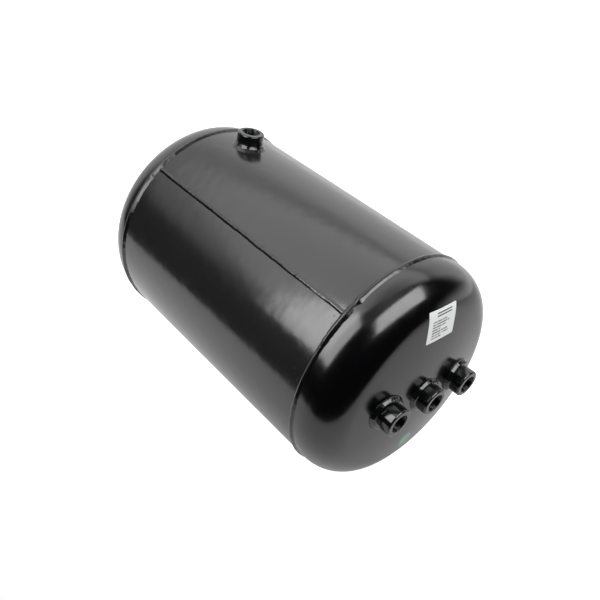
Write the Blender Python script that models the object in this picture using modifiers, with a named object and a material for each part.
"""Welded steel reservoir for compressed air, built the way the tank shop builds it.

A rolled shell closed by a butt weld, a dished head pushed into each end and welded round,
three threaded ports welded through the front head, one through the shell, and a rating label.
+X runs along the tank towards the ported head, +Z towards the port in the shell, and the origin
lies under the middle of the shell, where the mounting cradle carries it. Metres throughout.
"""

import math

import bmesh
import bpy
from mathutils import Matrix, Vector

# Shell
SHELL_RADIUS = 0.138            # outside
WALL = 0.003
SEAM_SPACING = 0.333            # between the middles of the two girth welds
ROOT_GAP = 0.003                # between a plate's edge and the next, filled by the weld's root
SHELL_SEAM_ANGLE = math.radians(134.1)   # from +Y towards +Z

# Dished heads
KNUCKLE_RADIUS = 0.0446
CROWN_RADIUS = 0.524
FRONT_SKIRT = 0.0081            # straight stretch from the middle of the girth weld
REAR_SKIRT = 0.0031
LIP_LENGTH = 0.012              # the stepped edge that slides into the shell
LIP_STEP = 0.003                # length of the step on the inside

# Welds
BEAD_WIDTH = 0.0065
BEAD_HEIGHT = 0.0013
SEAM_BEAD_WIDTH = 0.004
SEAM_BEAD_HEIGHT = 0.0008
PORT_WELD_TOE = 0.0218          # radius where a port's weld meets the wall
SHELL_PORT_WELD_TOE = 0.0212

# Ports: M22 x 1.5 weld-in bosses, bored at the thread's minor diameter
PORT_RADIUS = 0.0165
PORT_NECK_RADIUS = 0.0155
PORT_BORE_RADIUS = 0.0102
PORT_MOUTH_RADIUS = 0.0110
PORT_FACE_RADIUS = 0.0146
PORT_COLLAR = 0.0128            # from the face to the back of the collar
PORT_LENGTH = 0.0255
PORT_BACK_CHAMFER = 0.0008
PORT_SPACING = 0.0602
PORT_FACE_X = 0.2439
SHELL_PORT_X = -0.1182
SHELL_PORT_FACE_RADIUS = 0.1564     # from the tank's axis
OUTER_PORT_WELD_HEIGHT = 0.0056
CENTRE_PORT_WELD_HEIGHT = 0.0042
SHELL_PORT_WELD_HEIGHT = 0.0064

# Rating label
LABEL_WIDTH = 0.044
LABEL_HEIGHT = 0.037
LABEL_THICKNESS = 0.0004
LABEL_ARC = 0.0942              # from the nose to the label's middle, over the head
LABEL_OFFSET_Y = -0.0056
LABEL_TURN = math.radians(2.9)

# Fineness and fit
GAP = 0.0003
MERGE = 0.00001
TANK_STEPS = 64
PORT_STEPS = 32
CROWN_SEGMENTS = 5
KNUCKLE_SEGMENTS = 7
BEAD_SEGMENTS = 4
CUTTER_REACH = 0.02

# Values that follow
HALF_SPACING = SEAM_SPACING / 2.0
KNUCKLE_CENTRE_RADIUS = SHELL_RADIUS - KNUCKLE_RADIUS
CROWN_ANGLE = math.asin(KNUCKLE_CENTRE_RADIUS / (CROWN_RADIUS - KNUCKLE_RADIUS))
CROWN_DROP = math.sqrt((CROWN_RADIUS - KNUCKLE_RADIUS) ** 2 - KNUCKLE_CENTRE_RADIUS ** 2)
FRONT_KNUCKLE_X = HALF_SPACING + FRONT_SKIRT
FRONT_CROWN_CENTRE_X = FRONT_KNUCKLE_X - CROWN_DROP

BLACK_PAINT = (0.012, 0.012, 0.013, 1.0)
LABEL_WHITE = (0.78, 0.78, 0.76, 1.0)


def clear_scene():
    """Remove every object that the file holds."""
    for obj in list(bpy.data.objects):
        bpy.data.objects.remove(obj, do_unlink=True)


def new_collection(name):
    """A collection linked to the scene."""
    collection = bpy.data.collections.new(name)
    bpy.context.scene.collection.children.link(collection)
    return collection


def principled(name, colour, roughness, metallic):
    """A plain Principled material."""
    material = bpy.data.materials.new(name)
    material.use_nodes = True
    shader = material.node_tree.nodes["Principled BSDF"]
    shader.inputs["Base Color"].default_value = colour
    shader.inputs["Roughness"].default_value = roughness
    shader.inputs["Metallic"].default_value = metallic
    return material


def add_object(name, mesh, collection, matrix=None):
    """An object for a mesh, linked to one collection and placed by a matrix."""
    obj = bpy.data.objects.new(name, mesh)
    collection.objects.link(obj)
    if matrix is not None:
        obj.matrix_world = matrix
    return obj


def dress(obj, colour, roughness, metallic):
    """Give a piece its own material and smooth shading with sharp edges kept."""
    obj.data.materials.append(principled(obj.name, colour, roughness, metallic))
    obj.data.shade_smooth()
    obj.data.set_sharp_from_angle(angle=math.radians(35.0))


def mark_cutter(obj):
    """Show a cutter as wire only."""
    obj.hide_render = True
    obj.display_type = "WIRE"


def turned(name, profile, closed, steps, collection, matrix, turn=2.0 * math.pi):
    """A turned piece: (radius, height) points down the outer side, spun about the local Z axis."""
    mesh = bpy.data.meshes.new(name)
    points = [(radius, 0.0, height) for radius, height in profile]
    edges = [(i, i + 1) for i in range(len(points) - 1)]
    if closed:
        edges.append((len(points) - 1, 0))
    mesh.from_pydata(points, edges, [])
    obj = add_object(name, mesh, collection, matrix)
    screw = obj.modifiers.new("Spin", "SCREW")
    screw.axis = "Z"
    screw.angle = turn
    screw.steps = steps
    screw.render_steps = steps
    screw.use_merge_vertices = True
    screw.merge_threshold = MERGE
    return obj


def cut(obj, cutter):
    """Take a cutter away from a piece."""
    boolean = obj.modifiers.new("Cut " + cutter.name, "BOOLEAN")
    boolean.operation = "DIFFERENCE"
    boolean.solver = "EXACT"
    boolean.object = cutter


def along(origin, direction, sideways):
    """A frame at origin with local Z along direction and local X as near sideways as it can be."""
    z_axis = Vector(direction).normalized()
    y_axis = z_axis.cross(Vector(sideways)).normalized()
    x_axis = y_axis.cross(z_axis)
    turn = Matrix((x_axis, y_axis, z_axis)).transposed().to_4x4()
    return Matrix.Translation(Vector(origin)) @ turn


def tank_frame(x, towards_front=True):
    """A frame on the tank's axis with local Z along +X or -X."""
    direction = (1.0 if towards_front else -1.0, 0.0, 0.0)
    return along((x, 0.0, SHELL_RADIUS), direction, (0.0, 0.0, 1.0))


def arc(centre, radius, start, end, segments):
    """Points of an arc; angles run from the local Z axis towards the outer side."""
    angles = [start + (end - start) * i / segments for i in range(segments + 1)]
    return [(centre[0] + radius * math.sin(a), centre[1] + radius * math.cos(a)) for a in angles]


def dish(skirt, offset):
    """A head's surface from the nose to the knuckle's end, moved out by an offset.

    Heights are from the middle of the girth weld.
    """
    crown_centre = (0.0, skirt - CROWN_DROP)
    knuckle_centre = (KNUCKLE_CENTRE_RADIUS, skirt)
    crown = arc(crown_centre, CROWN_RADIUS + offset, 0.0, CROWN_ANGLE, CROWN_SEGMENTS)
    right_angle = math.pi / 2.0
    knuckle = arc(knuckle_centre, KNUCKLE_RADIUS + offset, CROWN_ANGLE, right_angle, KNUCKLE_SEGMENTS)
    return crown + knuckle[1:]


def build_shell(collection, port_envelope):
    """The rolled sheet: an open cylinder with a slit along the seam, thickened inwards."""
    half_length = HALF_SPACING - ROOT_GAP / 2.0
    slit = ROOT_GAP / SHELL_RADIUS
    profile = [(SHELL_RADIUS, half_length), (SHELL_RADIUS, -half_length)]
    frame = tank_frame(0.0)
    # The local X axis points up (+Z), and a turn about local Z takes it towards -Y.
    start = SHELL_SEAM_ANGLE - math.pi / 2.0 + slit / 2.0
    matrix = frame @ Matrix.Rotation(start, 4, "Z")
    obj = turned("shell", profile, False, TANK_STEPS, collection, matrix, 2.0 * math.pi - slit)
    thick = obj.modifiers.new("Sheet", "SOLIDIFY")
    thick.thickness = WALL
    thick.offset = -1.0
    cut(obj, port_envelope)
    dress(obj, BLACK_PAINT, 0.3, 0.0)
    return obj


def build_head(name, skirt, towards_front, collection, port_envelopes):
    """A pressed head: dish, straight skirt and the stepped lip that fits inside the shell."""
    outer = dish(skirt, 0.0)
    inner = dish(skirt, -WALL)
    shoulder = ROOT_GAP / 2.0
    lip_outer = SHELL_RADIUS - WALL - GAP
    lip_inner = lip_outer - WALL
    inner_step = min(shoulder + LIP_STEP, skirt - GAP)
    lip = [
        (SHELL_RADIUS, shoulder),
        (lip_outer, shoulder),
        (lip_outer, shoulder - LIP_LENGTH),
        (lip_inner, shoulder - LIP_LENGTH),
        (lip_inner, inner_step - LIP_STEP),
        (SHELL_RADIUS - WALL, inner_step),
    ]
    profile = outer + lip + inner[::-1]
    x = HALF_SPACING if towards_front else -HALF_SPACING
    obj = turned(name, profile, False, TANK_STEPS, collection, tank_frame(x, towards_front))
    for envelope in port_envelopes:
        cut(obj, envelope)
    dress(obj, BLACK_PAINT, 0.3, 0.0)
    return obj


def bead_cap(width, height, base):
    """A weld bead's rounded top over a base radius, from its +Z edge to its -Z edge."""
    half = width / 2.0
    angles = [math.pi * i / BEAD_SEGMENTS for i in range(BEAD_SEGMENTS + 1)]
    return [(base + height * math.sin(a), half * math.cos(a)) for a in angles]


def build_girth_weld(name, x, collection):
    """A girth weld: a root between shell and head, under a cap wider than the gap."""
    base = SHELL_RADIUS + GAP
    root_half = ROOT_GAP / 2.0 - GAP
    root_radius = SHELL_RADIUS - WALL
    root = [(base, -root_half), (root_radius, -root_half), (root_radius, root_half), (base, root_half)]
    profile = bead_cap(BEAD_WIDTH, BEAD_HEIGHT, base) + root
    obj = turned(name, profile, True, TANK_STEPS, collection, tank_frame(x))
    dress(obj, BLACK_PAINT, 0.4, 0.0)
    return obj


def build_seam_weld(collection):
    """The shell's butt weld: a flat outline of root and cap, extruded along the tank."""
    length = SEAM_SPACING - 2.0 * (BEAD_WIDTH / 2.0 + GAP)
    base = SHELL_RADIUS + GAP
    root_half = ROOT_GAP / 2.0 - GAP
    root_radius = SHELL_RADIUS - WALL
    outline = [(side, radius) for radius, side in bead_cap(SEAM_BEAD_WIDTH, SEAM_BEAD_HEIGHT, base)]
    outline += [(-root_half, base), (-root_half, root_radius), (root_half, root_radius), (root_half, base)]
    curve = bpy.data.curves.new("seam_outline", "CURVE")
    curve.dimensions = "2D"
    curve.fill_mode = "BOTH"
    curve.extrude = length / 2.0
    spline = curve.splines.new("POLY")
    spline.points.add(len(outline) - 1)
    for point, (side, radius) in zip(spline.points, outline):
        point.co = (side, radius, 0.0, 1.0)
    spline.use_cyclic_u = True
    outward = (0.0, math.cos(SHELL_SEAM_ANGLE), math.sin(SHELL_SEAM_ANGLE))
    sideways = Vector(outward).cross(Vector((1.0, 0.0, 0.0)))
    matrix = along((0.0, 0.0, SHELL_RADIUS), (1.0, 0.0, 0.0), sideways)
    guide = add_object("seam_outline", curve, collection, matrix)
    bpy.context.view_layer.update()
    depsgraph = bpy.context.evaluated_depsgraph_get()
    mesh = bpy.data.meshes.new_from_object(guide.evaluated_get(depsgraph))
    mesh.name = "longitudinal_seam_weld"
    bm = bmesh.new()
    bm.from_mesh(mesh)
    bmesh.ops.remove_doubles(bm, verts=bm.verts, dist=MERGE)
    bmesh.ops.recalc_face_normals(bm, faces=bm.faces)
    bm.to_mesh(mesh)
    bm.free()
    obj = add_object("longitudinal_seam_weld", mesh, collection, guide.matrix_world.copy())
    bpy.data.objects.remove(guide, do_unlink=True)
    dress(obj, BLACK_PAINT, 0.4, 0.0)
    return obj


def build_port(name, frame, collection):
    """A threaded boss: chamfered collar, neck through the wall, and a plain bore with a mouth."""
    edge = PORT_RADIUS - PORT_FACE_RADIUS
    mouth = PORT_MOUTH_RADIUS - PORT_BORE_RADIUS
    profile = [
        (PORT_FACE_RADIUS, 0.0),
        (PORT_RADIUS, -edge),
        (PORT_RADIUS, -PORT_COLLAR + PORT_BACK_CHAMFER),
        (PORT_NECK_RADIUS, -PORT_COLLAR),
        (PORT_NECK_RADIUS, -PORT_LENGTH),
        (PORT_BORE_RADIUS, -PORT_LENGTH),
        (PORT_BORE_RADIUS, -mouth),
        (PORT_MOUTH_RADIUS, 0.0),
    ]
    obj = turned(name, profile, True, PORT_STEPS, collection, frame)
    dress(obj, BLACK_PAINT, 0.25, 0.0)
    return obj


def build_port_envelope(name, frame, collection):
    """The room a port takes: its outside grown by the gap, used to cut the wall and the weld."""
    collar = PORT_RADIUS + GAP
    neck = PORT_NECK_RADIUS + GAP
    profile = [
        (0.0, GAP),
        (collar, GAP),
        (collar, -PORT_COLLAR - GAP),
        (neck, -PORT_COLLAR - GAP),
        (neck, -PORT_LENGTH - GAP),
        (0.0, -PORT_LENGTH - GAP),
    ]
    obj = turned(name, profile, False, PORT_STEPS, collection, frame)
    mark_cutter(obj)
    return obj


def build_head_envelope(collection):
    """The front head's outside grown by the gap."""
    surface = dish(FRONT_SKIRT, GAP)
    edge = SHELL_RADIUS + GAP
    profile = surface + [(edge, -CUTTER_REACH), (0.0, -CUTTER_REACH)]
    obj = turned("head_envelope", profile, False, TANK_STEPS, collection, tank_frame(HALF_SPACING))
    mark_cutter(obj)
    return obj


def build_shell_envelope(collection):
    """The shell's outside grown by the gap, along the stretch round its port."""
    reach = SHELL_PORT_WELD_TOE + CUTTER_REACH
    edge = SHELL_RADIUS + GAP
    profile = [(0.0, reach), (edge, reach), (edge, -reach), (0.0, -reach)]
    frame = tank_frame(SHELL_PORT_X)
    obj = turned("shell_envelope", profile, False, 2 * TANK_STEPS, collection, frame)
    mark_cutter(obj)
    return obj


def build_port_weld(name, frame, toe, height, collection, cutters):
    """A fillet weld round a port: a quarter-ellipse mound cut to the wall and the port."""
    inner = PORT_NECK_RADIUS
    count = BEAD_SEGMENTS + 2
    angles = [math.pi / 2.0 * i / count for i in range(count + 1)]
    mound = [(inner + (toe - inner) * math.sin(a), height * math.cos(a)) for a in angles]
    depth = WALL + GAP
    profile = [(0.0, height)] + mound + [(toe, -depth), (0.0, -depth)]
    obj = turned(name, profile, False, PORT_STEPS, collection, frame)
    for cutter in cutters:
        cut(obj, cutter)
    dress(obj, BLACK_PAINT, 0.4, 0.0)
    return obj


def crown_point(y, z):
    """The crown's surface point over (y, z) from the axis, and its outward direction."""
    rise = math.sqrt(CROWN_RADIUS ** 2 - y * y - z * z)
    point = Vector((FRONT_CROWN_CENTRE_X + rise, y, SHELL_RADIUS + z))
    normal = Vector((rise, y, z)).normalized()
    return point, normal


def over_head(arc_length, azimuth, lift):
    """The point at an arc length from the nose and an azimuth from +Z, lifted off the head."""
    crown_arc = CROWN_RADIUS * CROWN_ANGLE
    if arc_length <= crown_arc:
        angle = arc_length / CROWN_RADIUS
        radius = (CROWN_RADIUS + lift) * math.sin(angle)
        x = FRONT_CROWN_CENTRE_X + (CROWN_RADIUS + lift) * math.cos(angle)
    else:
        angle = CROWN_ANGLE + (arc_length - crown_arc) / KNUCKLE_RADIUS
        radius = KNUCKLE_CENTRE_RADIUS + (KNUCKLE_RADIUS + lift) * math.sin(angle)
        x = FRONT_KNUCKLE_X + (KNUCKLE_RADIUS + lift) * math.cos(angle)
    return Vector((x, radius * math.sin(azimuth), SHELL_RADIUS + radius * math.cos(azimuth)))


def build_label(collection):
    """The foil label: a flat sheet laid over the head and thickened outwards."""
    bm = bmesh.new()
    bmesh.ops.create_grid(bm, x_segments=8, y_segments=10, size=0.5)
    lift = 1.5 * GAP
    cos_turn = math.cos(LABEL_TURN)
    sin_turn = math.sin(LABEL_TURN)
    for vert in bm.verts:
        across = vert.co.x * LABEL_WIDTH
        upward = vert.co.y * LABEL_HEIGHT
        side = cos_turn * across - sin_turn * upward + LABEL_OFFSET_Y
        rise = sin_turn * across + cos_turn * upward + LABEL_ARC
        vert.co = over_head(math.hypot(side, rise), math.atan2(side, rise), lift)
    mesh = bpy.data.meshes.new("rating_label")
    bm.to_mesh(mesh)
    bm.free()
    obj = add_object("rating_label", mesh, collection)
    thick = obj.modifiers.new("Foil", "SOLIDIFY")
    thick.thickness = LABEL_THICKNESS
    thick.offset = 1.0
    dress(obj, LABEL_WHITE, 0.45, 0.0)
    return obj


def build_front_ports(parts, cutters):
    """The three ports in the front head with their welds; returns their envelopes."""
    head_envelope = build_head_envelope(cutters)
    side_by_name = {"left": -1.0, "centre": 0.0, "right": 1.0}
    envelopes = []
    for side_name, side in side_by_name.items():
        name = "front_port_" + side_name
        y = side * PORT_SPACING
        frame = along((PORT_FACE_X, y, SHELL_RADIUS), (1.0, 0.0, 0.0), (0.0, 0.0, 1.0))
        build_port(name, frame, parts)
        envelope = build_port_envelope(name + "_envelope", frame, cutters)
        point, normal = crown_point(y, 0.0)
        weld_frame = along(point, normal, (0.0, 0.0, 1.0))
        height = OUTER_PORT_WELD_HEIGHT if side else CENTRE_PORT_WELD_HEIGHT
        blades = (envelope, head_envelope)
        build_port_weld(name + "_weld", weld_frame, PORT_WELD_TOE, height, parts, blades)
        envelopes.append(envelope)
    return envelopes


def build_shell_port(parts, cutters):
    """The port in the shell with its weld; returns its envelope."""
    up = (0.0, 0.0, 1.0)
    face = (SHELL_PORT_X, 0.0, SHELL_RADIUS + SHELL_PORT_FACE_RADIUS)
    frame = along(face, up, (1.0, 0.0, 0.0))
    build_port("shell_port", frame, parts)
    envelope = build_port_envelope("shell_port_envelope", frame, cutters)
    wall_frame = along((SHELL_PORT_X, 0.0, 2.0 * SHELL_RADIUS), up, (1.0, 0.0, 0.0))
    blades = (envelope, build_shell_envelope(cutters))
    toe = SHELL_PORT_WELD_TOE
    build_port_weld("shell_port_weld", wall_frame, toe, SHELL_PORT_WELD_HEIGHT, parts, blades)
    return envelope


def main():
    """Build the reservoir."""
    clear_scene()
    parts = new_collection("compressed_air_reservoir")
    cutters = new_collection("cutters")
    front_envelopes = build_front_ports(parts, cutters)
    shell_envelope = build_shell_port(parts, cutters)
    build_shell(parts, shell_envelope)
    build_head("front_head", FRONT_SKIRT, True, parts, front_envelopes)
    build_head("rear_head", REAR_SKIRT, False, parts, [])
    build_girth_weld("front_girth_weld", HALF_SPACING, parts)
    build_girth_weld("rear_girth_weld", -HALF_SPACING, parts)
    build_seam_weld(parts)
    build_label(parts)


main()
